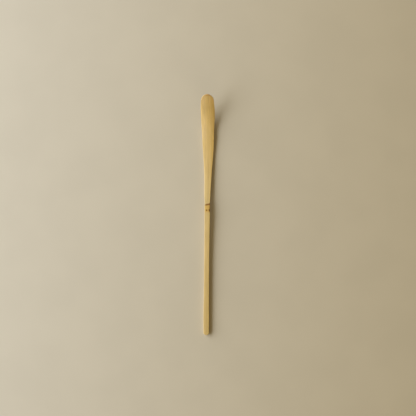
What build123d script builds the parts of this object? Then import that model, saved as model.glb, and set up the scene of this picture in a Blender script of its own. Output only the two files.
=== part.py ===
from build123d import *
import math
import os

# Tea scoop: one strip of bamboo, carved to shape and bent near the tip. Millimetres and degrees.
# +Y runs from the tail to the tip, +X is the right of the front face, +Z is up from the table.
# The origin is at the bottom centre of the strip's box.

# Lengths along the front face, from the tail to the tip
shaft_length = 91.9
node_length = 4.0
blade_length = 52.9
bend_radius = 26.0
bend_angle = 45.0
tip_length = 11.0

# Shaft
tail_width = 3.95
waist_width = 3.65
shaft_end_width = 4.05
tail_thickness = 2.6
waist_thickness = 2.5
shaft_end_thickness = 2.75
tail_corner = 1.1

# Node: a groove with a notch at its lower ring, a swollen band and a groove at its upper ring
band_width = 4.2
band_thickness = 2.95
ring_width = 0.9
lower_ring_depth = 0.3
upper_ring_depth = 0.2
ring_side_depth = 0.15
ring_tilt = 9.0
notch_depth = 0.7
notch_length = 2.5

# Blade, bend and tip
neck_width = 3.9
blade_width = 10.2
tip_width = 9.1
neck_thickness = 2.3
hollow_thickness = 2.1
blade_thickness = 2.45
tip_thickness = 1.5
nose_length = 9.6
nose_width = 10.0
nose_bevel = 0.8

# Cross-section
crown_radius = 19.5
front_round = 0.3
side_lean = 0.1
shaft_bevel_width = 0.5
shaft_bevel_height = 0.5
blade_bevel_width = 2.0
blade_bevel_height = 0.7
tip_bevel_height = 0.4

# Lift of the back under the node and where the bend starts, sideways bow of the blade, and how far
# the resting flats are planed
arch_lift = 1.0
bend_lift = 0.6
bow = 1.25
rest_flat = 0.06
overrun = 5.0

# Stations along the shaft: shares of its length, of its waist, of the lift and of the bow
shaft_place_shares = (0.0, 0.33, 0.62, 0.83, 1.0)
shaft_waist_shares = (0.0, 0.49, 1.0, 0.58, 0.0)
shaft_lift_shares = (0.0, 0.25, 0.52, 0.79, 1.0)
shaft_bow_shares = (0.0, 0.03, 0.13, 0.23, 0.34)

# Stations along the node: shares of the notch
notch_start_share = 0.8
notch_end_share = 0.75
node_bow_share = 0.57

# Stations along the blade: shares of its length, its widening, its hollow, the two lifts, the bow
blade_place_shares = (0.0, 0.1, 0.26, 0.48, 0.74, 1.0)
blade_width_shares = (0.0, 0.08, 0.14, 0.31, 0.61, 0.81)
blade_hollow_shares = (0.0, 0.6, 1.0, 0.8, 0.25, 0.0)
blade_lift_shares = (1.0, 0.88, 0.63, 0.29, 0.0, 0.0)
blade_rise_shares = (0.0, 0.0, 0.0, 0.0, 0.0, 1.0)
blade_bow_shares = (0.39, 0.37, 0.58, 0.75, 0.81, 0.62)

# Stations round the bend: shares of its angle, the widening, the thinning to the tip, the bow
bend_place_shares = (0.33, 0.66, 1.0)
bend_width_shares = (0.91, 1.0, 0.95)
bend_thin_shares = (0.12, 0.3, 0.5)
bend_bow_shares = (0.54, 0.48, 0.3)

# Stations up the straight tip: shares of its length, its taper, the thinning, the bow
tip_place_shares = (0.5, 1.0)
tip_taper_shares = (0.6, 1.0)
tip_thin_shares = (0.75, 1.0)
tip_bow_shares = (0.18, 0.1)
nose_bow_share = 0.17

# Places along the strip that follow from the lengths
lower_ring_place = shaft_length
upper_ring_place = shaft_length + node_length
blade_start = upper_ring_place + ring_width
bend_start = upper_ring_place + blade_length


def between(low, high, share):
    return low + (high - low) * share


def crown_drop(offset):
    """How far the crowned front face falls at an offset from its middle."""
    return crown_radius - math.sqrt(crown_radius**2 - offset**2)


def profile(width, thickness, bevel_width, bevel_height):
    """Cross-section with the middle of its crowned front face at the origin."""
    half = width / 2
    shoulder = half - front_round
    drop = crown_drop(shoulder)
    corner = front_round * math.sin(math.radians(45))
    side_top = -drop - front_round
    side_foot = -thickness + bevel_height
    foot = half - side_lean
    back = half - bevel_width
    right_round = ThreePointArc((shoulder, -drop), (shoulder + corner, side_top + corner), (half, side_top))
    left_round = ThreePointArc((-half, side_top), (-shoulder - corner, side_top + corner), (-shoulder, -drop))
    edges = [
        ThreePointArc((-shoulder, -drop), (0, 0), (shoulder, -drop)),
        right_round,
        Line((half, side_top), (foot, side_foot)),
        Line((foot, side_foot), (back, -thickness)),
        Line((back, -thickness), (-back, -thickness)),
        Line((-back, -thickness), (-foot, side_foot)),
        Line((-foot, side_foot), (-half, side_top)),
        left_round,
    ]
    return Wire([edge.edge() for edge in edges])


def station(place, height, offset, tilt=0.0):
    """Plane across the strip, whose own Y points out of the front face."""
    lean = math.radians(tilt)
    return Plane(
        origin=(offset, place, height),
        x_dir=(1, 0, 0),
        z_dir=(0, -math.cos(lean), -math.sin(lean)),
    )


def shaft_wires():
    wires = []
    length = lower_ring_place - notch_length
    stations = zip(shaft_place_shares, shaft_waist_shares, shaft_lift_shares, shaft_bow_shares)
    for place_share, waist_share, lift_share, bow_share in stations:
        straight_width = between(tail_width, shaft_end_width, place_share)
        straight_thickness = between(tail_thickness, shaft_end_thickness, place_share)
        width = between(straight_width, waist_width, waist_share)
        thickness = between(straight_thickness, waist_thickness, waist_share)
        height = arch_lift * lift_share + thickness - rest_flat
        plane = station(length * place_share, height, bow * bow_share)
        wires.append(plane * profile(width, thickness, shaft_bevel_width, shaft_bevel_height))
    return wires


def node_wire(place, width, thickness, left_dip, right_dip, tilt=0.0):
    """Station across the node, whose sides dip inwards by their own amounts."""
    height = arch_lift + thickness - rest_flat
    offset = bow * node_bow_share + (left_dip - right_dip) / 2
    wire = profile(width - left_dip - right_dip, thickness, shaft_bevel_width, shaft_bevel_height)
    return station(place, height, offset) * Rot(0, tilt, 0) * wire


def node_wires():
    half_ring = ring_width / 2
    lower_groove = shaft_end_thickness - lower_ring_depth
    upper_groove = neck_thickness - upper_ring_depth
    notch_start = notch_depth * notch_start_share
    notch_end = notch_depth * notch_end_share
    side = ring_side_depth
    return [
        shaft_wires()[-1],
        node_wire(lower_ring_place - half_ring, shaft_end_width, shaft_end_thickness, 0, notch_start),
        node_wire(lower_ring_place, shaft_end_width, lower_groove, side, notch_depth),
        node_wire(lower_ring_place + half_ring, band_width, band_thickness, 0, notch_end),
        node_wire(upper_ring_place - half_ring, band_width, band_thickness, 0, 0, ring_tilt),
        node_wire(upper_ring_place, band_width, upper_groove, side, side, ring_tilt),
        blade_wires()[0],
    ]


def blade_wires():
    wires = []
    stations = zip(
        blade_place_shares,
        blade_width_shares,
        blade_hollow_shares,
        blade_lift_shares,
        blade_rise_shares,
        blade_bow_shares,
    )
    for place_share, width_share, hollow_share, lift_share, rise_share, bow_share in stations:
        straight_thickness = between(neck_thickness, blade_thickness, place_share)
        thickness = between(straight_thickness, hollow_thickness, hollow_share)
        lift = arch_lift * lift_share + bend_lift * rise_share
        height = lift + thickness - rest_flat
        plane = station(between(blade_start, bend_start, place_share), height, bow * bow_share)
        wire = profile(
            between(neck_width, blade_width, width_share),
            thickness,
            between(shaft_bevel_width, blade_bevel_width, width_share),
            between(shaft_bevel_height, blade_bevel_height, width_share),
        )
        wires.append(plane * wire)
    return wires


def thinned_wire(plane, width, thin_share):
    """Station in the bend or the tip, thinner towards the nose."""
    wire = profile(
        width,
        between(blade_thickness, tip_thickness, thin_share),
        blade_bevel_width,
        between(blade_bevel_height, tip_bevel_height, thin_share),
    )
    return plane * wire


def bend_place(share):
    """Place and height of the front face at a share of the bend's angle."""
    turn = math.radians(bend_angle * share)
    height = bend_lift + blade_thickness - rest_flat + bend_radius * (1 - math.cos(turn))
    return bend_start + bend_radius * math.sin(turn), height


def bend_wires():
    wires = []
    stations = zip(bend_place_shares, bend_width_shares, bend_thin_shares, bend_bow_shares)
    for place_share, width_share, thin_share, bow_share in stations:
        place, height = bend_place(place_share)
        plane = station(place, height, bow * bow_share, bend_angle * place_share)
        wires.append(thinned_wire(plane, between(neck_width, blade_width, width_share), thin_share))
    return wires


def tip_place(share):
    """Place and height of the front face at a share of the straight tip."""
    place, height = bend_place(1.0)
    turn = math.radians(bend_angle)
    run = tip_length * share
    return place + run * math.cos(turn), height + run * math.sin(turn)


def tip_wires():
    wires = []
    start_width = between(neck_width, blade_width, bend_width_shares[-1])
    stations = zip(tip_place_shares, tip_taper_shares, tip_thin_shares, tip_bow_shares)
    for place_share, taper_share, thin_share, bow_share in stations:
        place, height = tip_place(place_share)
        plane = station(place, height, bow * bow_share, bend_angle)
        wires.append(thinned_wire(plane, between(start_width, tip_width, taper_share), thin_share))
    return wires


def nose_waste():
    """What is cut off round the tip to leave its rounded nose with a bevelled back."""
    place, height = tip_place(1.0)
    lean = math.radians(bend_angle)
    face = Plane(
        origin=(bow * nose_bow_share, place, height),
        x_dir=(1, 0, 0),
        z_dir=(0, -math.sin(lean), math.cos(lean)),
    )
    depth = blade_thickness + 2 * front_round
    above = face.offset(front_round) * Pos(0, -nose_length)
    below = face.offset(front_round - depth) * Pos(0, -nose_length)
    front = above * Ellipse(nose_width / 2, nose_length)
    back = below * Ellipse(nose_width / 2, nose_length - nose_bevel)
    nose = loft([front, back])
    block_length = nose_length + overrun
    block_middle = block_length / 2 - nose_length
    block = Box(blade_width + overrun, block_length, depth)
    return face * Pos(0, block_middle, front_round - depth / 2) * block - nose


def table_waste():
    """What is planed off the back so that the strip rests on two flats."""
    length = bend_start + bend_radius + tip_length
    slab = Box(blade_width + 2 * bow + overrun, length + overrun, overrun)
    return Pos(0, length / 2, -overrun / 2) * slab


def tail_waste(side):
    """Corner cut off the tail's end, on the left or the right."""
    half = tail_width / 2
    shape = Polyline(
        (side * (half - 2 * tail_corner), -tail_corner),
        (side * (half + tail_corner), -tail_corner),
        (side * (half + tail_corner), 2 * tail_corner),
        close=True,
    )
    return extrude(make_face(shape), tail_thickness + overrun, both=True)


def make_strip():
    shaft = Solid.make_loft(shaft_wires())
    node = Solid.make_loft(node_wires(), ruled=True)
    blade = Solid.make_loft(blade_wires() + bend_wires() + tip_wires())
    return shaft + node + blade


def make_scoop():
    scoop = make_strip() - nose_waste() - table_waste() - tail_waste(-1) - tail_waste(1)
    box = scoop.bounding_box()
    middle = box.center()
    return Pos(-middle.X, -middle.Y, -box.min.Z) * scoop


os.makedirs("parts", exist_ok=True)
scoop = make_scoop()
export_step(scoop, "parts/scoop.step")
size = scoop.bounding_box().size
print("scoop", round(size.X, 2), round(size.Y, 2), round(size.Z, 2), "mm,", round(scoop.volume), "mm3")
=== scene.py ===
import math
import bpy
import numpy as np
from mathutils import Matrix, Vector


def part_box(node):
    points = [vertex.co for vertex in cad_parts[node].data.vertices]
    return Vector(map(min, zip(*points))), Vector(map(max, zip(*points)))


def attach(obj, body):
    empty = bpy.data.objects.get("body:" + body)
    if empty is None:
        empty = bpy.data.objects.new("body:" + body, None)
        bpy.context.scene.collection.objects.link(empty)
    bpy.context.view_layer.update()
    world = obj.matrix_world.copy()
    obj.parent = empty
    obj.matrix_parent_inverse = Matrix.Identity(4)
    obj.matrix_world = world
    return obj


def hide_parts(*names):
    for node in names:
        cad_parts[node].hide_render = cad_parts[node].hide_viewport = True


# A bamboo tea scoop on a plain floor, seen from straight above. The strip is one finely meshed piece
# that follows the CAD sizes and adds the carving, the node's rings and the wood itself.
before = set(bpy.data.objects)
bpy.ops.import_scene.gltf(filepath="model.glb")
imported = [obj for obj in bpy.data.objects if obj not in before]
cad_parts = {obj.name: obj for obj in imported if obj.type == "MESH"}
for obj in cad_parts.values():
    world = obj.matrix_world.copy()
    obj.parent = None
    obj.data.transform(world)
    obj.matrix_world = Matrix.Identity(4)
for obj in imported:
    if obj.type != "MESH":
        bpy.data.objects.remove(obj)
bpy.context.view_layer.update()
mm = 0.001

# Lengths along the strip's front face, from the tail to the tip
shaft_length = 91.9 * mm
node_length = 4.0 * mm
blade_length = 52.9 * mm
bend_radius = 26.0 * mm
bend_angle = math.radians(45.0)
tip_length = 11.0 * mm

# Widths and thicknesses of the shaft, the node, the blade and the tip
tail_width = 3.95 * mm
waist_width = 3.65 * mm
shaft_end_width = 4.05 * mm
tail_thickness = 2.6 * mm
waist_thickness = 2.5 * mm
shaft_end_thickness = 2.75 * mm
tail_corner = 1.1 * mm
band_width = 4.2 * mm
band_thickness = 2.95 * mm
neck_width = 3.9 * mm
blade_width = 10.2 * mm
tip_width = 9.1 * mm
neck_thickness = 2.3 * mm
hollow_thickness = 2.1 * mm
blade_thickness = 2.45 * mm
tip_thickness = 1.5 * mm

# The rounded nose: its outline, which opens quickly towards the blade, its slanted end, its thinning
nose_length = 9.6 * mm
nose_width = 10.3 * mm
nose_inset = 0.08 * mm
nose_power = 2.12
nose_opening = 4.0
nose_least_share = 0.0001
nose_bevel = 0.5 * mm
nose_bevel_length = 4.0 * mm
nose_thinning = 0.25 * mm
nose_thinning_length = 3.0 * mm

# Cross-section: a crowned front with rounded corners, leaning sides and a bevelled back
crown_radius = 19.5 * mm
front_round = 0.3 * mm
tip_round = 0.18 * mm
side_lean = 0.1 * mm
shaft_bevel_width = 0.5 * mm
shaft_bevel_height = 0.5 * mm
blade_bevel_width = 2.0 * mm
blade_bevel_height = 0.7 * mm
tip_bevel_height = 0.4 * mm
edge_round = 0.16 * mm
end_round = 0.3 * mm

# Where the section gets narrow: the most that a corner takes of what carries it, and how sharply
# one limit of the width takes over from another
round_limit_share = 0.9
bevel_limit_share = 0.45
lean_limit_share = 1 / 8
edge_limit_share = 0.4
least_half_width = 0.1 * mm
limit_power = 40

# Lift of the back under the node and where the bend starts, sideways bow, and planing of the flats
arch_lift = 1.0 * mm
bend_lift = 0.6 * mm
bow = 1.25 * mm
rest_flat = 0.06 * mm

# The node's two rings, the notch at the right of the lower one, the bud scar at its left and the
# inner wall that was cut away on the back. The curl is counted per metre: times the square of an
# offset, it says how far the upper ring slides there.
ring_width = 0.9 * mm
half_ring = ring_width / 2
lower_ring_depth = 0.09 * mm
upper_ring_depth = 0.2 * mm
lower_ring_share = 0.36
upper_ring_share = 0.42
ring_side_depth = 0.1 * mm
ring_tilt = math.radians(9.0)
ring_curl = 25.0
notch_depth = 0.7 * mm
notch_length = 2.5 * mm
notch_flare_share = 1.0
scar_offset = -0.45 * mm
scar_lag = 0.14 * mm
scar_radius = 0.45 * mm
scar_depth = 0.12 * mm
diaphragm_height = 0.12 * mm
diaphragm_width = 1.1 * mm

# The shallow groove that runs up the blade from the node, and the swelling at the left of the shaft
groove_offset = 0.75 * mm
groove_width = 0.7 * mm
groove_depth = 0.06 * mm
groove_length = 44.0 * mm
swell_place = 14.0 * mm
swell_length = 9.0 * mm
swell_width = 0.16 * mm

# Marks that the knife left, as waves summed from three that a seed shifts. Those of the sides fade out
# before the tip, and those of the front grow to full depth at an offset from the middle.
carving_depth = 0.035 * mm
carving_length = 13.0 * mm
carving_fade = 20.0 * mm
carving_offset = 4.0 * mm
wave_rates = (1.0, 1.73, 2.91)
wave_shifts = (2.1, 1.3, 3.7)
wave_shares = (0.5, 0.3, 0.2)
side_seed = 3
front_seed = 5
back_seed = 9

# Depths below the skin between which the front's relief fades, and heights above the back for its own
front_relief_start = 0.2 * mm
front_relief_end = 1.2 * mm
back_relief_start = 0.6 * mm
back_relief_end = 0.1 * mm

# Stations along the shaft: shares of its length, of its waist, of the lift and of the bow
shaft_place_shares = (0.0, 0.33, 0.62, 0.83, 1.0)
shaft_waist_shares = (0.0, 0.49, 1.0, 0.58, 0.0)
shaft_lift_shares = (0.0, 0.25, 0.52, 0.79, 1.0)
shaft_bow_shares = (0.0, 0.03, 0.13, 0.23, 0.34)

# Stations along the node: shares of the notch
notch_start_share = 0.8
notch_end_share = 0.75

# Stations along the blade: shares of its length, its widening, its hollow, the two lifts, the bow
blade_place_shares = (0.0, 0.1, 0.26, 0.48, 0.74, 1.0)
blade_width_shares = (0.0, 0.08, 0.14, 0.31, 0.61, 0.81)
blade_hollow_shares = (0.0, 0.6, 1.0, 0.8, 0.25, 0.0)
blade_lift_shares = (1.0, 0.88, 0.63, 0.29, 0.0, 0.0)
blade_rise_shares = (0.0, 0.0, 0.0, 0.0, 0.0, 1.0)
blade_bow_shares = (0.39, 0.37, 0.58, 0.75, 0.81, 0.62)

# Stations round the bend and up the straight tip
bend_place_shares = (0.33, 0.66, 1.0)
bend_width_shares = (0.91, 1.0, 0.95)
bend_thin_shares = (0.12, 0.3, 0.5)
bend_bow_shares = (0.54, 0.48, 0.3)
tip_place_shares = (0.5, 1.0)
tip_taper_shares = (0.6, 1.0)
tip_thin_shares = (0.75, 1.0)
tip_bow_shares = (0.18, 0.1)
nose_bow_share = 0.17

# Places along the strip that follow from the lengths
lower_ring_place = shaft_length
upper_ring_place = shaft_length + node_length
scar_place = lower_ring_place - scar_lag
shaft_end_place = lower_ring_place - notch_length
blade_start = upper_ring_place + ring_width
skew_end = upper_ring_place + 5 * ring_width
bend_start = upper_ring_place + blade_length
tip_start = bend_start + bend_radius * bend_angle
strip_length = tip_start + tip_length
nose_end = strip_length - nose_inset

# Mesh: step and smoothing of the tables, spacing of the rings, and how many points go across each
# part of half a section
table_step = 0.05 * mm
smooth_reach = 0.2 * mm
bend_blend = 1.0 * mm
shaft_spacing = 0.36 * mm
node_spacing = 0.11 * mm
blade_spacing = 0.3 * mm
node_margin = 4 * ring_width
nose_rings = 36
nose_start_angle = math.radians(38.0)
nose_end_angle = math.radians(85.5)
end_rings = 6
crown_points = 12
corner_points = 6
side_points = 4
edge_points = 3
bevel_points = 5
back_points = 7
cap_rows = 4
front_points = crown_points + corner_points + side_points
ring_points = 2 * (front_points + side_points + 2 * edge_points + bevel_points + back_points)
bake_cells = 3
bake_margin_share = 0.04

# Wood colours, and where along the strip each of the skin's colours lies
skin_shares = (0.0, 0.17, 0.33, 0.48, 0.57, 0.7, 0.8, 0.905, 0.97)
skin_colours = (
    (0.532, 0.367, 0.133),
    (0.532, 0.370, 0.135),
    (0.562, 0.392, 0.150),
    (0.580, 0.412, 0.163),
    (0.587, 0.425, 0.170),
    (0.569, 0.395, 0.148),
    (0.592, 0.406, 0.145),
    (0.565, 0.384, 0.130),
    (0.590, 0.400, 0.142),
)
cut_colour = (0.54, 0.370, 0.140)
pith_colour = (0.56, 0.420, 0.210)
vessel_colour = (0.30, 0.160, 0.050)
ring_colour = (0.19, 0.080, 0.015)
scar_colour = (0.19, 0.088, 0.010)
band_colour = (0.545, 0.336, 0.080)
toast_colour = (0.45, 0.235, 0.060)
fleck_colour = (0.33, 0.180, 0.060)

# Painted light and shade on the skin towards its sides: painted shade on the left, which the window
# lights, a painted sheen on the tip's left, painted warm shade on the right and painted light on the right
# of the shaft and the tip; and the offsets between which they come in
painted_shade_left_tint = (0.96, 0.965, 1.01)
painted_sheen_tip_left_tint = (1.0, 1.01, 1.13)
painted_warm_shade_right_tint = (1.06, 1.02, 0.85)
painted_light_shaft_right_tint = (1.04, 1.09, 1.06)
painted_light_tip_right_tint = (1.01, 1.01, 1.05)
tint_start = 0.2 * mm
tint_end = 4.2 * mm
shaft_tint_end = 2.0 * mm
tip_tint_place = bend_start - nose_length

# Depths below the skin between which the cut wood comes in, and then the vessels and the paler pith,
# which both start at the skin's own depth
skin_depth = 0.25 * mm
cut_start_depth = 0.3 * skin_depth
cut_end_depth = 2 * skin_depth
vessel_full_depth = 3 * skin_depth
pith_depth = 2.2 * mm

# Width, length and depth of each kind of grain
broad_grain = (1.1 * mm, 60 * mm, 1.1 * mm)
fine_grain = (0.13 * mm, 9 * mm, 0.13 * mm)
patch_grain = (5 * mm, 17 * mm, 5 * mm)
vessel_grain = (0.42 * mm, 26 * mm, 0.42 * mm)
fleck_grain = (1.5 * mm, 5.5 * mm, 1.5 * mm)
plain_detail = 2.0
grain_detail = 3.0

# How strongly the grain tells: the levels between which a noise is read, how far it moves a tone, and
# the vessels' and flecks' size in their cells, their darkness and how few of the flecks there are
noise_low_share = 0.3
noise_high_share = 0.7
broad_tone_share = 0.05
fine_tone_share = 0.11
patch_tone_share = 0.05
vessel_core_share = 0.12
vessel_edge_share = 0.36
vessel_dark_share = 0.75
vessel_skin_share = 0.1
fleck_rarity_shares = (0.72, 0.8)
fleck_core_share = 0.06
fleck_edge_share = 0.12
fleck_dark_share = 0.5

# The node's brown and orange marks: half-widths of their cores and of their faded edges, and the
# offsets, to the side or along the strip, between which each one comes in
ring_core = 0.36 * mm
ring_fade = 0.9 * mm
ring_flare = 1.35 * mm
ring_flare_start = 0.9 * mm
ring_flare_end = 1.9 * mm
ring_left_start = -1.75 * mm
ring_left_end = -1.25 * mm
ring_dark_share = 0.95
ring_noise_shares = (0.25, 0.75)
ring_tone_shares = (0.75, 1.15)
notch_core = 0.135 * mm
notch_fade = 0.99 * mm
notch_mark_start = 0.6 * mm
notch_mark_end = 1.2 * mm
scar_core = 0.315 * mm
scar_fade = 0.72 * mm
band_fade_start = -2.2 * mm
band_fade_end = -0.6 * mm
band_left_start = -1.95 * mm
band_left_end = -1.2 * mm
band_left_share = 0.3
band_share = 0.85

# Toasted rim of the tip
toast_length = 2.2 * mm
toast_rim = 0.3 * mm
toast_share = 0.65

# Gloss and fine relief of the wood
skin_roughness = 0.58
cut_roughness = 0.67
roughness_reach = 0.05
wood_specular = 0.16
bump_height = 0.04 * mm
skin_bump_share = 0.35
cut_bump_share = 0.8
broad_relief_share = 0.5
vessel_relief_share = 0.6

# Camera, straight above the scoop, with its lens and sensor in millimetres
camera_height = 724.6 * mm
camera_x = 0.39 * mm
camera_y = 5.54 * mm
camera_lens = 85.0
camera_turn = math.radians(0.2)
sensor_width = 36.0
near_clip = 10 * mm

# Soft light: a broad low window to the left, a weak warm lamp beyond the tail and the room's own light
key_distance = 720 * mm
key_width = 1500 * mm
key_height = 660 * mm
key_elevation = math.radians(25.5)
key_azimuth = math.radians(-11.0)
key_power = 9.7
key_colour = (0.82, 0.885, 1.0)
fill_distance = 1500 * mm
fill_width = 2400 * mm
fill_height = 900 * mm
fill_elevation = math.radians(32.0)
fill_azimuth = math.radians(90.0)
fill_power = 2.1
fill_colour = (1.0, 0.95, 0.65)
lamp_spread = math.radians(120.0)
room_colour = (0.27, 0.207, 0.112)

# Floor, whose colour drifts from left to right as painted light, cooler towards the window and warmer
# where its light falls off, and the backdrop into which it fades
floor_size = 4000 * mm
floor_left_with_painted_cool_light = (0.510, 0.459, 0.359)
floor_right_with_painted_warm_light = (0.503, 0.429, 0.289)
painted_light_drift = 230 * mm
floor_mottle = 35 * mm
floor_mottle_share = 0.015
floor_roughness = 0.85
backdrop_colour = (0.50, 0.435, 0.32)
fade_start = 230 * mm
fade_end = 750 * mm


def between(low, high, share):
    return low + (high - low) * share


def curve_through(places, values, at):
    """Natural cubic spline through values at places, read at other places."""
    places = np.asarray(places)
    values = np.asarray(values)
    gaps = np.diff(places)
    slopes = np.diff(values) / gaps
    count = len(places)
    matrix = np.eye(count)
    pulls = np.zeros(count)
    for i in range(1, count - 1):
        matrix[i, i - 1:i + 2] = (gaps[i - 1], 2 * (gaps[i - 1] + gaps[i]), gaps[i])
        pulls[i] = 6 * (slopes[i] - slopes[i - 1])
    bends = np.linalg.solve(matrix, pulls)
    index = np.clip(np.searchsorted(places, at) - 1, 0, count - 2)
    gap = gaps[index]
    ahead = (at - places[index]) / gap
    behind = 1 - ahead
    chord = values[index] * behind + values[index + 1] * ahead
    curl = bends[index] * (behind**3 - behind) + bends[index + 1] * (ahead**3 - ahead)
    return chord + curl * gap**2 / 6


def smoothed(values, reach):
    """Running average of a table over a reach to each side."""
    half = max(1, round(reach / table_step))
    window = np.hanning(2 * half + 3)[1:-1]
    padded = np.pad(values, half, mode="reflect", reflect_type="odd")
    return np.convolve(padded, window / window.sum(), mode="valid")


def bump(distance, width):
    """Bell of height one, about as wide as asked."""
    return np.exp(-(distance / width) ** 2)


def ease(value, low, high):
    """Smooth step from 0 at low to 1 at high."""
    share = np.clip((value - low) / (high - low), 0, 1)
    return share * share * (3 - 2 * share)


def wander(place, seed, length):
    """Slow wave of about unit height that never quite repeats, for what a hand carves."""
    turns = place / length * 2 * math.pi
    waves = zip(wave_rates, wave_shifts, range(len(wave_rates)), wave_shares)
    return sum(
        share * np.sin(rate * turns + shift * seed + start)
        for rate, shift, start, share in waves
    )


def shaft_stations():
    """Place, width, thickness, lift, bow and the bevel's two sizes at each station of the shaft."""
    rows = []
    stations = zip(shaft_place_shares, shaft_waist_shares, shaft_lift_shares, shaft_bow_shares)
    for place_share, waist_share, lift_share, bow_share in stations:
        straight_width = between(tail_width, shaft_end_width, place_share)
        straight_thickness = between(tail_thickness, shaft_end_thickness, place_share)
        rows.append((
            shaft_end_place * place_share,
            between(straight_width, waist_width, waist_share),
            between(straight_thickness, waist_thickness, waist_share),
            arch_lift * lift_share,
            bow * bow_share,
            shaft_bevel_width,
            shaft_bevel_height,
        ))
    return rows


def blade_stations():
    """The same along the blade."""
    rows = []
    stations = zip(
        blade_place_shares,
        blade_width_shares,
        blade_hollow_shares,
        blade_lift_shares,
        blade_rise_shares,
        blade_bow_shares,
    )
    for place_share, width_share, hollow_share, lift_share, rise_share, bow_share in stations:
        straight_thickness = between(neck_thickness, blade_thickness, place_share)
        rows.append((
            between(blade_start, bend_start, place_share),
            between(neck_width, blade_width, width_share),
            between(straight_thickness, hollow_thickness, hollow_share),
            arch_lift * lift_share + bend_lift * rise_share,
            bow * bow_share,
            between(shaft_bevel_width, blade_bevel_width, width_share),
            between(shaft_bevel_height, blade_bevel_height, width_share),
        ))
    return rows


def tip_stations():
    """The same round the bend and up the tip, where the lift is the bend's own."""
    rows = []
    bend = zip(bend_place_shares, bend_width_shares, bend_thin_shares, bend_bow_shares)
    for place_share, width_share, thin_share, bow_share in bend:
        width = between(neck_width, blade_width, width_share)
        rows.append((between(bend_start, tip_start, place_share), width, thin_share, bow_share))
    start_width = rows[-1][1]
    tip = zip(tip_place_shares, tip_taper_shares, tip_thin_shares, tip_bow_shares)
    for place_share, taper_share, thin_share, bow_share in tip:
        width = between(start_width, tip_width, taper_share)
        rows.append((between(tip_start, strip_length, place_share), width, thin_share, bow_share))
    return [
        (
            place,
            width,
            between(blade_thickness, tip_thickness, thin_share),
            bend_lift,
            bow * bow_share,
            blade_bevel_width,
            between(blade_bevel_height, tip_bevel_height, thin_share),
        )
        for place, width, thin_share, bow_share in rows
    ]


def strip_tables():
    """Tables of the strip's sizes at places a small step apart, from the tail to the tip."""
    places = np.arange(0, strip_length + table_step, table_step)
    shaft = np.array(shaft_stations())
    blade = np.array(blade_stations() + tip_stations())
    node_places = (shaft_end_place, lower_ring_place - half_ring, lower_ring_place + half_ring,
                   upper_ring_place - half_ring, blade_start)
    names = ("width", "thickness", "lift", "offset", "bevel_width", "bevel_height")
    band_levels = {"width": band_width, "thickness": band_thickness}
    tables = {"place": places}
    for column, name in enumerate(names, start=1):
        first = shaft[-1, column]
        last = blade[0, column]
        middle = between(first, last, 1 / 2)
        band = band_levels.get(name, middle)
        before = first if name in band_levels else middle
        along_shaft = curve_through(shaft[:, 0], shaft[:, column], places)
        along_blade = curve_through(blade[:, 0], blade[:, column], places)
        along_node = np.interp(places, node_places, (first, before, band, band, last))
        table = np.where(places < shaft_end_place, along_shaft, along_node)
        table = np.where(places > blade_start, along_blade, table)
        tables[name] = smoothed(table, smooth_reach)
    return tables


def add_path(tables):
    """Adds the front face's middle line, its turn, the notch and the front corners' size to the tables."""
    places = tables["place"]
    angle = np.clip((places - bend_start) / bend_radius, 0, bend_angle)
    angle = smoothed(angle, bend_blend)
    run = np.cumsum(np.cos(angle)) * table_step
    climb = np.cumsum(np.sin(angle)) * table_step
    tables["turn"] = angle
    tables["y"] = run - run[0]
    # Round the bend the front face is the reference, as in the part, so thinning lifts the back
    thickness = np.where(places > bend_start, blade_thickness, tables["thickness"])
    tables["z"] = smoothed(tables["lift"] + thickness, smooth_reach) - rest_flat + climb - climb[0]
    notch_places = (lower_ring_place - notch_length, lower_ring_place - half_ring, lower_ring_place,
                    lower_ring_place + half_ring, upper_ring_place - half_ring)
    notch_shares = (0.0, notch_start_share, 1.0, notch_end_share, 0.0)
    notch = np.interp(places, notch_places, notch_shares) * notch_depth
    tables["notch"] = smoothed(notch, smooth_reach)
    tables["round"] = between(front_round, tip_round, ease(places, blade_start, tip_start))
    return tables


def spaced(start, end, spacing):
    """Places about a spacing apart from start up to, but without, end."""
    return np.linspace(start, end, round((end - start) / spacing), endpoint=False)


def ring_places():
    """Places of the mesh's rings, closer at the ends and the node."""
    end = end_round * (1 - np.cos(np.linspace(0, math.pi / 2, end_rings, endpoint=False)))
    node_low = lower_ring_place - node_margin
    node_high = upper_ring_place + node_margin
    nose_low = nose_end - nose_length * (1 - math.sin(nose_start_angle))
    angles = np.linspace(nose_start_angle, nose_end_angle, nose_rings)
    nose = nose_end - nose_length * (1 - np.sin(angles))
    return np.concatenate([
        end,
        spaced(end_round, node_low, shaft_spacing),
        spaced(node_low, node_high, node_spacing),
        spaced(node_high, nose_low, blade_spacing),
        nose,
    ])


def crown_drop(offset):
    """How far the crowned front face falls at an offset from its middle."""
    return crown_radius - np.sqrt(crown_radius**2 - offset**2)


def straight(start, end, count):
    """Points from start up to, but without, end."""
    shares = np.arange(count)[:, None] / count
    return start + (end - start) * shares


def turned(start, corner, end):
    """Points of a short arc from start round a corner, up to, but without, end."""
    shares = np.arange(edge_points)[:, None] / edge_points
    return start * (1 - shares) ** 2 + 2 * corner * shares * (1 - shares) + end * shares**2


def towards(start, end, reach):
    """Point a reach away from start towards end, or nearer where the side is short."""
    return start + (end - start) * min(reach / np.linalg.norm(end - start), edge_limit_share)


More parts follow.
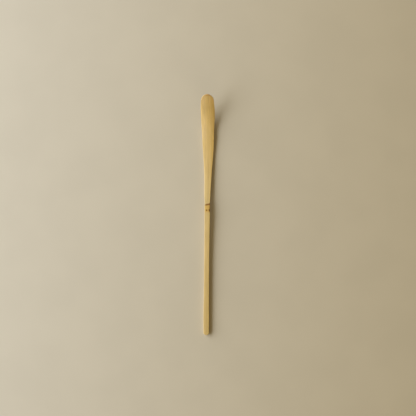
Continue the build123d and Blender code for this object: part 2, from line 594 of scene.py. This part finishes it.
def half_section(half, thickness, bevel_width, bevel_height, round_width, round_height, flare):
    """Half a cross-section, from the middle of the front round to the middle of the back."""
    lean = math.asin((half - round_width) / crown_radius)
    shoulder = half - round_width * (1 - math.sin(lean))
    crown = np.linspace(0, shoulder, crown_points, endpoint=False)
    angles = np.linspace(lean, math.pi / 2, corner_points, endpoint=False)
    top = -crown_drop(shoulder)
    corner_x = shoulder + round_width * (np.sin(angles) - math.sin(lean))
    corner_v = top - round_height * (math.cos(lean) - np.cos(angles))
    side_top = np.array((half, top - round_height * math.cos(lean)))
    foot_x = half + flare - min(side_lean, half * lean_limit_share)
    side_foot = np.array((foot_x, -thickness + bevel_height))
    bevel_end = np.array((half - bevel_width, -thickness))
    middle = np.array((0.0, -thickness))
    side_middle = (side_top + side_foot) / 2
    foot_start = towards(side_foot, side_middle, edge_round)
    foot_end = towards(side_foot, bevel_end, edge_round)
    back_start = towards(bevel_end, side_foot, edge_round)
    back_end = towards(bevel_end, middle, edge_round)
    return np.vstack([
        np.column_stack((crown, -crown_drop(crown))),
        np.column_stack((corner_x, corner_v)),
        straight(side_top, side_middle, side_points),
        straight(side_middle, foot_start, side_points),
        turned(foot_start, side_foot, foot_end),
        straight(foot_end, back_start, bevel_points),
        turned(back_start, bevel_end, back_end),
        straight(back_end, middle, back_points),
        middle[None, :],
    ])


def joined(left, right):
    """A whole ring from two halves, starting at the middle of the left side and going over the front."""
    mirror = left * np.array((-1, 1))
    return np.vstack([mirror[front_points:0:-1], right, mirror[-2:front_points:-1]])


def nose_half(place):
    """Half-width of the rounded nose at a place, and how squarely its rim crosses the strip."""
    share = (place - nose_end + nose_length) / nose_length
    if share < 0:
        return nose_width / 2 * (1 + nose_opening * share**2), 1.0
    narrowing = max(1 - share**nose_power, nose_least_share) ** (1 / nose_power)
    steep = nose_width / 2 / nose_length * (share / narrowing) ** (nose_power - 1)
    return nose_width / 2 * narrowing, 1 / math.sqrt(1 + steep**2)


def softly_least(first, second):
    """Smaller of two lengths, rounded over where they are nearly alike."""
    return (first**-limit_power + second**-limit_power) ** (-1 / limit_power)


def half_width(place, size, side):
    """Half-width of one side, and the width of its rounded front corner."""
    half = size["width"] / 2
    carving = carving_depth * wander(place, side_seed + side, carving_length)
    half += carving * ease(strip_length - place, 0, carving_fade)
    half -= ring_side_depth * bump(place - lower_ring_place, half_ring)
    half -= ring_side_depth * bump(place - upper_ring_place, half_ring)
    if side > 0:
        half -= size["notch"]
    else:
        half += swell_width * bump(place - swell_place, swell_length)
    tail_half = tail_width / 2 - tail_corner + place
    half = softly_least(half, tail_half)
    nose, square = nose_half(place)
    nose_shift = (bow * nose_bow_share - size["offset"]) * ease(place, tip_start, strip_length)
    half = softly_least(half, max(nose + side * nose_shift, least_half_width))
    return half, min(size["round"] / square, half * round_limit_share)


def end_inset(place):
    """How far the section draws in at the rounded edge of the tail's end."""
    share = np.clip(1 - place / end_round, 0, 1)
    return end_round * (1 - math.sqrt(1 - share**2))


def ring_section(place, size):
    """One ring as points across and up the section, with the depth of each below the front skin."""
    inset = end_inset(place)
    thinning = nose_thinning * ease(place, strip_length - nose_thinning_length, strip_length)
    halves = []
    for side in (-1, 1):
        half, round_width = half_width(place, size, side)
        halves.append(half_section(
            half - inset,
            size["thickness"] - thinning - inset,
            min(size["bevel_width"], half * bevel_limit_share),
            size["bevel_height"],
            min(round_width, (half - inset) * round_limit_share),
            size["round"],
            size["notch"] * notch_flare_share if side > 0 else 0,
        ))
    ring = joined(*halves)
    skin = -crown_drop(np.clip(np.abs(ring[:, 0]), 0, size["width"] / 2 - size["round"]))
    depth = np.maximum(skin - ring[:, 1], 0)
    ring[:, 1] = np.minimum(ring[:, 1], -inset)
    return ring, depth


def ring_skew(place, across):
    """How far a point slides along the strip so that the upper ring runs askew and curls at the right."""
    rising = ease(place, lower_ring_place + half_ring, upper_ring_place - half_ring)
    falling = 1 - ease(place, upper_ring_place + ring_width, skew_end)
    curl = ring_curl * np.maximum(across, 0) ** 2
    return (math.tan(ring_tilt) * across + curl) * rising * falling


def front_relief(place, across, depth):
    """How far the front surface sinks: rings, bud scar, groove up the blade and knife marks."""
    front = 1 - ease(depth, front_relief_start, front_relief_end)
    lower = bump(place - lower_ring_place, ring_width * lower_ring_share) * lower_ring_depth
    upper = bump(place - upper_ring_place, ring_width * upper_ring_share) * upper_ring_depth
    scar_distance = np.hypot(place - scar_place, across - scar_offset)
    scar = bump(scar_distance, scar_radius) * scar_depth
    groove_end = upper_ring_place + groove_length
    groove_share = ease(place, upper_ring_place, upper_ring_place + 2 * ring_width)
    groove_share = groove_share * (1 - ease(place, groove_end - groove_length / 2, groove_end))
    groove = bump(across - groove_offset, groove_width) * groove_depth * groove_share
    knife = carving_depth * wander(place + 2 * across, front_seed, carving_length)
    knife = knife * np.abs(across) / carving_offset
    return (lower + upper + scar + groove + knife) * front


def back_relief(place, depth, thickness):
    """How far the back stands out where the node's inner wall was cut away, and knife marks."""
    back = ease(depth, thickness - back_relief_start, thickness - back_relief_end)
    middle = between(lower_ring_place, upper_ring_place, 1 / 2)
    ridge = bump(place - middle, diaphragm_width) * diaphragm_height
    knife = carving_depth * wander(place, back_seed, carving_length)
    return (ridge + knife) * back


def strip_points():
    """Every ring's points, measured from the tail, and their places across, along and below the skin."""
    tables = add_path(strip_tables())
    points = []
    fibres = []
    for place in ring_places():
        size = {name: np.interp(place, tables["place"], table) for name, table in tables.items()}
        ring, depth = ring_section(place, size)
        across = ring[:, 0]
        up = ring[:, 1] - front_relief(place, across, depth)
        up = up - back_relief(place, depth, size["thickness"])
        slant = nose_bevel * ease(place, strip_length - nose_bevel_length, strip_length)
        slide = ring_skew(place, across) - slant * depth / tip_thickness
        turn = size["turn"]
        points.append(np.column_stack((
            size["offset"] + across,
            size["y"] + slide * math.cos(turn) - up * math.sin(turn),
            size["z"] + slide * math.sin(turn) + up * math.cos(turn),
        )))
        fibres.append(np.column_stack((across, place + slide, depth)))
    return np.array(points), np.array(fibres)


def seated(points):
    """Planes the resting flats at floor level and sets the strip where the CAD one is."""
    low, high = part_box("scoop")
    flat = points.reshape(-1, 3)
    middle = (flat[:, 0].min() + flat[:, 0].max()) / 2
    points[..., 0] += (low[0] + high[0]) / 2 - middle
    points[..., 1] += low[1] - flat[:, 1].min()
    points[..., 2] = np.maximum(points[..., 2], 0)
    return points


def cap_points(ring):
    """Smaller and smaller copies of a ring, and the middle point in which they end."""
    middle = ring.mean(axis=0)
    shares = np.arange(1, cap_rows)[:, None, None] / cap_rows
    copies = ring + (middle - ring) * shares
    return np.vstack([copies.reshape(-1, 3), middle])


def with_caps(rings):
    """Points of all rings, then those of the cap at the tail and of the cap at the nose."""
    return np.vstack([rings.reshape(-1, 3), cap_points(rings[0]), cap_points(rings[-1])])


def faces_between(start, ahead):
    """Faces from one ring to the next, whose points are numbered from start and from ahead."""
    faces = []
    for point in range(ring_points):
        following = (point + 1) % ring_points
        faces.append((start + point, start + following, ahead + following, ahead + point))
    return faces


def cap_faces(ring_start, inner_start):
    """Faces that close a ring's end, whose inner points are numbered from inner_start."""
    starts = [ring_start] + [inner_start + row * ring_points for row in range(cap_rows - 1)]
    middle = inner_start + (cap_rows - 1) * ring_points
    faces = []
    for start, ahead in zip(starts, starts[1:]):
        faces += faces_between(start, ahead)
    for point in range(ring_points):
        faces.append((starts[-1] + point, starts[-1] + (point + 1) % ring_points, middle))
    return faces


def strip_faces(ring_count):
    """Faces along the sides, then those of the tail's cap, turned to face back, and of the nose's cap."""
    faces = []
    for ring in range(ring_count - 1):
        faces += faces_between(ring * ring_points, (ring + 1) * ring_points)
    tail_start = ring_count * ring_points
    nose_start = tail_start + (cap_rows - 1) * ring_points + 1
    faces += [face[::-1] for face in cap_faces(0, tail_start)]
    faces += cap_faces((ring_count - 1) * ring_points, nose_start)
    return faces


def cell_place(cell, across_share, along_share):
    """Place in the bake map of a point that lies at these shares of a cell."""
    column = cell % bake_cells
    row = cell // bake_cells
    inner = 1 - 2 * bake_margin_share
    across = (column + bake_margin_share + inner * across_share) / bake_cells
    along = (row + bake_margin_share + inner * along_share) / bake_cells
    return across, along


def cap_box(ring):
    """Lowest corner and larger side, across and up, of the ring round a cap."""
    low = ring[:, (0, 2)].min(axis=0)
    return low, (ring[:, (0, 2)].max(axis=0) - low).max()


def bake_map(mesh, rings, points):
    """Lays the strip out in stretches, one to a cell, with both end caps in the last cell."""
    layer = mesh.uv_layers.new(name="OFBake")
    stretches = bake_cells**2 - 1
    rings_each = math.ceil((len(rings) - 1) / stretches)
    side_faces = (len(rings) - 1) * ring_points
    nose_faces = side_faces + cap_rows * ring_points
    tail_box = cap_box(rings[0])
    nose_box = cap_box(rings[-1])
    for polygon in mesh.polygons:
        for corner, loop in enumerate(polygon.loop_indices):
            if polygon.index < side_faces:
                ring = polygon.index // ring_points
                point = polygon.index % ring_points + (corner in (1, 2))
                cell = ring // rings_each
                along = (ring - cell * rings_each + (corner in (2, 3))) / rings_each
                layer.uv[loop].vector = cell_place(cell, point / ring_points, along)
            else:
                on_nose = polygon.index >= nose_faces
                low, span = nose_box if on_nose else tail_box
                share = (points[mesh.loops[loop].vertex_index][[0, 2]] - low) / span / 2
                shift = 1 / 2 if on_nose else 0
                layer.uv[loop].vector = cell_place(stretches, share[0] + shift, share[1])


def make_strip():
    """The whole strip as one closed mesh, with the wood's own coordinates on its points."""
    rings, fibres = strip_points()
    rings = seated(rings)
    points = with_caps(rings)
    mesh = bpy.data.meshes.new("bamboo_strip")
    mesh.from_pydata(points.tolist(), [], strip_faces(len(rings)))
    mesh.polygons.foreach_set("use_smooth", [True] * len(mesh.polygons))
    bake_map(mesh, rings, points)
    fibre = mesh.attributes.new("fibre", "FLOAT_VECTOR", "POINT")
    fibre.data.foreach_set("vector", with_caps(fibres).ravel())
    strip = bpy.data.objects.new("bamboo_strip", mesh)
    bpy.context.scene.collection.objects.link(strip)
    return strip


def add_node(tree, kind, **settings):
    node = tree.nodes.new(kind)
    for name, value in settings.items():
        setattr(node, name, value)
    return node


def feed(tree, socket, value):
    """Links an output to a socket, or writes a plain value into it."""
    if isinstance(value, bpy.types.NodeSocket):
        tree.links.new(value, socket)
    else:
        socket.default_value = value


def sums(tree, operation, first, second=0.0):
    """One step of arithmetic on values."""
    node = add_node(tree, "ShaderNodeMath", operation=operation)
    feed(tree, node.inputs[0], first)
    feed(tree, node.inputs[1], second)
    return node.outputs[0]


def times(tree, first, second):
    return sums(tree, "MULTIPLY", first, second)


def mapped(tree, value, low, high, to_low=0.0, to_high=1.0):
    """Smooth step of a value between two levels."""
    node = add_node(tree, "ShaderNodeMapRange", interpolation_type="SMOOTHSTEP")
    for socket, number in zip(node.inputs[:5], (value, low, high, to_low, to_high)):
        feed(tree, socket, number)
    return node.outputs[0]


def varied(tree, value, reach, middle=1.0):
    """Number that a noise moves by a reach to each side of its middle."""
    return mapped(tree, value, noise_low_share, noise_high_share, middle - reach, middle + reach)


def mixed(tree, share, first, second, blend_type="MIX"):
    """One colour laid over another as far as the share says."""
    node = add_node(tree, "ShaderNodeMix", data_type="RGBA", blend_type=blend_type)
    feed(tree, node.inputs[0], share)
    for socket, colour in ((node.inputs[6], first), (node.inputs[7], second)):
        feed(tree, socket, colour if isinstance(colour, bpy.types.NodeSocket) else (*colour, 1.0))
    return node.outputs[2]


def tinted(tree, share, colour, tint):
    """A colour multiplied by a tint, as far as the share says."""
    return mixed(tree, share, colour, mixed(tree, 1.0, colour, tint, "MULTIPLY"))


def toned(tree, colour, tone):
    """A colour made lighter or darker by a factor."""
    grey = add_node(tree, "ShaderNodeCombineColor")
    for socket in grey.inputs:
        feed(tree, socket, tone)
    return mixed(tree, 1.0, colour, grey.outputs[0], "MULTIPLY")


def parts_of(tree, vector):
    """The three numbers of a vector."""
    split = add_node(tree, "ShaderNodeSeparateXYZ")
    feed(tree, split.inputs[0], vector)
    return split.outputs


def stretched(tree, vector, grain):
    """The wood's coordinates counted in grains of this width, length and depth."""
    node = add_node(tree, "ShaderNodeVectorMath", operation="MULTIPLY")
    feed(tree, node.inputs[0], vector)
    node.inputs[1].default_value = [1 / size for size in grain]
    return node.outputs[0]


def noise(tree, vector, grain, detail=plain_detail):
    """Soft noise stretched along the grain."""
    node = add_node(tree, "ShaderNodeTexNoise")
    feed(tree, node.inputs["Vector"], stretched(tree, vector, grain))
    node.inputs["Scale"].default_value = 1.0
    node.inputs["Detail"].default_value = detail
    return node.outputs["Fac"]


def cells(tree, vector, grain):
    """Scattered centres, read as the distance to the nearest one and as its own random colour."""
    node = add_node(tree, "ShaderNodeTexVoronoi", feature="F1")
    feed(tree, node.inputs["Vector"], stretched(tree, vector, grain))
    node.inputs["Scale"].default_value = 1.0
    return node.outputs


def new_material(name):
    """A material with nodes, its node tree and its shader."""
    material = bpy.data.materials.new(name)
    material.use_nodes = True
    tree = material.node_tree
    return material, tree, tree.nodes["Principled BSDF"]


def skin_colour(tree, along):
    """Colour of the front skin by its place along the strip."""
    ramp = add_node(tree, "ShaderNodeValToRGB")
    feed(tree, ramp.inputs["Fac"], sums(tree, "DIVIDE", along, strip_length))
    ramp.color_ramp.interpolation = "EASE"
    stops = ramp.color_ramp.elements
    for place_share in skin_shares[1:-1]:
        stops.new(place_share)
    for stop, place_share, colour in zip(stops, skin_shares, skin_colours):
        stop.position = place_share
        stop.color = (*colour, 1.0)
    return ramp.outputs["Color"]


def painted_side_light_tints(tree, skin, across, along):
    """The skin's colour with painted light and shade towards each side of the shaft, the blade and the
    tip.
    """
    # Painted warm shade on the right side, which is turned away from the window
    skin = tinted(tree, mapped(tree, across, tint_start, tint_end), skin, painted_warm_shade_right_tint)
    on_shaft = mapped(tree, along, shaft_end_place, lower_ring_place, 1.0, 0.0)
    shaft_right = mapped(tree, across, tint_start, shaft_tint_end)
    # Painted light that makes the right side of the shaft lighter
    skin = tinted(tree, times(tree, shaft_right, on_shaft), skin, painted_light_shaft_right_tint)
    left = mapped(tree, across, -tint_start, -tint_end / 2)
    before_tip = mapped(tree, along, tip_tint_place, tip_start, 1.0, 0.0)
    # Painted shade on the left side, which the window lights, fading out on the tip
    skin = tinted(tree, times(tree, left, before_tip), skin, painted_shade_left_tint)
    on_tip = mapped(tree, along, tip_tint_place, bend_start)
    # Painted sheen on the tip's left side
    skin = tinted(tree, times(tree, left, on_tip), skin, painted_sheen_tip_left_tint)
    tip_right = mapped(tree, across, tint_start, tint_end / 2)
    # Painted light on the tip's right side
    return tinted(tree, times(tree, tip_right, on_tip), skin, painted_light_tip_right_tint)


def vessel_mark(tree, fibre, depth):
    """Share of the dark vessels, which hardly show in the skin."""
    distance = cells(tree, fibre, vessel_grain)["Distance"]
    vessel = mapped(tree, distance, vessel_core_share, vessel_edge_share, vessel_dark_share, 0.0)
    return times(tree, vessel, mapped(tree, depth, skin_depth, vessel_full_depth, vessel_skin_share, 1.0))


def fleck_mark(tree, fibre):
    """Share of the few small flecks."""
    centre = cells(tree, fibre, fleck_grain)
    fleck = mapped(tree, centre["Distance"], fleck_core_share, fleck_edge_share, fleck_dark_share, 0.0)
    return times(tree, fleck, mapped(tree, centre["Color"], *fleck_rarity_shares))


def ring_line(tree, across, along):
    """Place along the strip, read on lines that run askew and curl as the upper ring does."""
    right = sums(tree, "MAXIMUM", across, 0.0)
    line = sums(tree, "SUBTRACT", along, times(tree, across, math.tan(ring_tilt)))
    return sums(tree, "SUBTRACT", line, times(tree, times(tree, right, right), ring_curl))


def ring_mark(tree, across, along, line):
    """Share of ring brown: all along the upper ring, and in the notch of the lower one."""
    from_upper = sums(tree, "ABSOLUTE", sums(tree, "SUBTRACT", line, upper_ring_place))
    fade = mapped(tree, across, ring_flare_start, ring_flare_end, ring_fade, ring_flare)
    upper = mapped(tree, from_upper, ring_core, fade, ring_dark_share, 0.0)
    upper = times(tree, upper, mapped(tree, across, ring_left_start, ring_left_end))
    from_lower = sums(tree, "ABSOLUTE", sums(tree, "SUBTRACT", along, scar_place))
    lower = mapped(tree, from_lower, notch_core, notch_fade, 1.0, 0.0)
    lower = times(tree, lower, mapped(tree, across, notch_mark_start, notch_mark_end))
    return sums(tree, "MAXIMUM", upper, lower)


def scar_mark(tree, across, along):
    """Share of the bud scar's brown."""
    lengthwise = sums(tree, "SUBTRACT", along, scar_place)
    sideways = sums(tree, "SUBTRACT", across, scar_offset)
    squares = sums(tree, "ADD", times(tree, lengthwise, lengthwise), times(tree, sideways, sideways))
    return mapped(tree, sums(tree, "SQRT", squares), scar_core, scar_fade, 1.0, 0.0)


def band_mark(tree, across, along, line):
    """Share of the orange between the rings, weaker at the left rim."""
    from_scar = sums(tree, "SUBTRACT", along, scar_place)
    below = mapped(tree, from_scar, band_fade_start, band_fade_end)
    above = mapped(tree, line, upper_ring_place, upper_ring_place + half_ring, 1.0, 0.0)
    inward = mapped(tree, across, band_left_start, band_left_end, band_left_share, 1.0)
    return times(tree, times(tree, times(tree, below, above), inward), band_share)


def node_marks(tree, colour, across, along, fine):
    """The wood's colour with the node's orange band, its bud scar and its brown rings."""
    line = ring_line(tree, across, along)
    colour = mixed(tree, band_mark(tree, across, along, line), colour, band_colour)
    colour = mixed(tree, scar_mark(tree, across, along), colour, scar_colour)
    uneven = mapped(tree, fine, *ring_noise_shares, *ring_tone_shares)
    ring = times(tree, ring_mark(tree, across, along, line), uneven)
    return mixed(tree, sums(tree, "MINIMUM", ring, 1.0), colour, ring_colour)


def grain_tone(tree, fibre, broad, fine):
    """Factor by which the grain makes the wood lighter or darker."""
    patch = noise(tree, fibre, patch_grain)
    tone = times(tree, varied(tree, broad, broad_tone_share), varied(tree, fine, fine_tone_share))
    return times(tree, tone, varied(tree, patch, patch_tone_share))


def wood_relief(tree, cut, broad, fine, vessel):
    """Fine fibres that stand out, with the vessels sunk between them, stronger where the wood is cut."""
    relief = sums(tree, "ADD", fine, times(tree, broad, broad_relief_share))
    relief = sums(tree, "SUBTRACT", relief, times(tree, vessel, vessel_relief_share))
    bumps = add_node(tree, "ShaderNodeBump")
    bumps.inputs["Distance"].default_value = bump_height
    feed(tree, bumps.inputs["Strength"], mapped(tree, cut, 0.0, 1.0, skin_bump_share, cut_bump_share))
    feed(tree, bumps.inputs["Height"], relief)
    return bumps.outputs["Normal"]


def make_bamboo():
    """Pale satin skin in front, and fibrous wood with dark vessels where it is cut."""
    material, tree, shader = new_material("bamboo_wood")
    fibre = add_node(tree, "ShaderNodeAttribute", attribute_name="fibre").outputs["Vector"]
    across, along, depth = parts_of(tree, fibre)
    broad = noise(tree, fibre, broad_grain, grain_detail)
    fine = noise(tree, fibre, fine_grain, grain_detail)
    vessel = vessel_mark(tree, fibre, depth)
    cut = mapped(tree, depth, cut_start_depth, cut_end_depth)
    wood = mixed(tree, mapped(tree, depth, skin_depth, pith_depth), cut_colour, pith_colour)
    colour = mixed(tree, cut, painted_side_light_tints(tree, skin_colour(tree, along), across, along), wood)
    colour = mixed(tree, vessel, colour, vessel_colour)
    colour = toned(tree, colour, grain_tone(tree, fibre, broad, fine))
    colour = mixed(tree, fleck_mark(tree, fibre), colour, fleck_colour)
    colour = node_marks(tree, colour, across, along, fine)
    toast = mapped(tree, along, strip_length - toast_length, strip_length - toast_rim, 0.0, toast_share)
    feed(tree, shader.inputs["Base Color"], mixed(tree, toast, colour, toast_colour))
    rough = mapped(tree, cut, 0.0, 1.0, skin_roughness, cut_roughness)
    rough = sums(tree, "ADD", rough, varied(tree, broad, roughness_reach, 0.0))
    feed(tree, shader.inputs["Roughness"], rough)
    shader.inputs["Specular IOR Level"].default_value = wood_specular
    feed(tree, shader.inputs["Normal"], wood_relief(tree, cut, broad, fine, vessel))
    return material


def backdrop_seen(tree):
    """One where a ray comes from the camera or is mirrored, so that it meets the pale backdrop."""
    path = add_node(tree, "ShaderNodeLightPath").outputs
    seen = sums(tree, "MAXIMUM", path["Is Camera Ray"], path["Is Glossy Ray"])
    return sums(tree, "MAXIMUM", seen, path["Is Transmission Ray"])


def make_floor_material():
    """Plain floor, faintly mottled, with painted light that makes it cooler to the left towards the window
    and warmer to the right, which fades into the backdrop.
    """
    material, tree, shader = new_material("plain_floor")
    place = add_node(tree, "ShaderNodeTexCoord").outputs["Object"]
    # The drift from left to right is painted light: cooler near the window, warmer where its light falls
    # off
    painted_light_rightward = mapped(tree, parts_of(tree, place)["X"], -painted_light_drift, painted_light_drift)
    plain = mixed(tree, painted_light_rightward, floor_left_with_painted_cool_light, floor_right_with_painted_warm_light)
    mottle = varied(tree, noise(tree, place, (floor_mottle,) * 3), floor_mottle_share)
    feed(tree, shader.inputs["Base Color"], toned(tree, plain, mottle))
    shader.inputs["Roughness"].default_value = floor_roughness
    shader.inputs["Specular IOR Level"].default_value = 0.0
    distance = add_node(tree, "ShaderNodeVectorMath", operation="LENGTH")
    feed(tree, distance.inputs[0], place)
    far = mapped(tree, distance.outputs["Value"], fade_start, fade_end)
    backdrop = add_node(tree, "ShaderNodeEmission")
    backdrop.inputs["Color"].default_value = (*backdrop_colour, 1.0)
    either = add_node(tree, "ShaderNodeMixShader")
    feed(tree, either.inputs[0], times(tree, far, backdrop_seen(tree)))
    feed(tree, either.inputs[1], shader.outputs[0])
    feed(tree, either.inputs[2], backdrop.outputs[0])
    feed(tree, tree.nodes["Material Output"].inputs["Surface"], either.outputs[0])
    return material


def make_floor():
    bpy.ops.mesh.primitive_plane_add(size=floor_size)
    floor = bpy.context.object
    floor.name = "floor"
    floor.data.materials.append(make_floor_material())


def make_lamp(name, azimuth, elevation, distance, size, power, colour):
    """Broad soft lamp aimed at the scoop. Azimuth 0 is at its left, and 90 degrees at its tail."""
    data = bpy.data.lights.new(name, "AREA")
    data.shape = "RECTANGLE"
    data.size, data.size_y = size
    data.energy = power
    data.color = colour
    data.spread = lamp_spread
    lamp = bpy.data.objects.new(name, data)
    side = math.cos(elevation)
    from_scoop = Vector((-side * math.cos(azimuth), -side * math.sin(azimuth), math.sin(elevation)))
    lamp.location = from_scoop * distance
    lamp.rotation_euler = (-from_scoop).to_track_quat("-Z", "Y").to_euler()
    lamp.visible_camera = False
    bpy.context.scene.collection.objects.link(lamp)


def make_lamps():
    key_size = (key_width, key_height)
    fill_size = (fill_width, fill_height)
    make_lamp("window", key_azimuth, key_elevation, key_distance, key_size, key_power, key_colour)
    make_lamp("fill", fill_azimuth, fill_elevation, fill_distance, fill_size, fill_power, fill_colour)


def make_room():
    """The room's own warm light, with a pale backdrop where it is seen directly or mirrored."""
    world = bpy.data.worlds.new("room")
    world.use_nodes = True
    tree = world.node_tree
    light = mixed(tree, backdrop_seen(tree), room_colour, backdrop_colour)
    feed(tree, tree.nodes["Background"].inputs["Color"], light)
    bpy.context.scene.world = world


def make_camera():
    data = bpy.data.cameras.new("camera")
    data.lens = camera_lens
    data.sensor_width = sensor_width
    data.clip_start = near_clip
    camera = bpy.data.objects.new("camera", data)
    camera.location = (camera_x, camera_y, camera_height)
    camera.rotation_euler = (0, 0, camera_turn)
    bpy.context.scene.collection.objects.link(camera)
    bpy.context.scene.camera = camera


strip = make_strip()
strip.data.materials.append(make_bamboo())
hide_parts("scoop")
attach(strip, "root")
make_floor()
make_lamps()
make_room()
make_camera()
bpy.context.scene.view_settings.view_transform = "Standard"
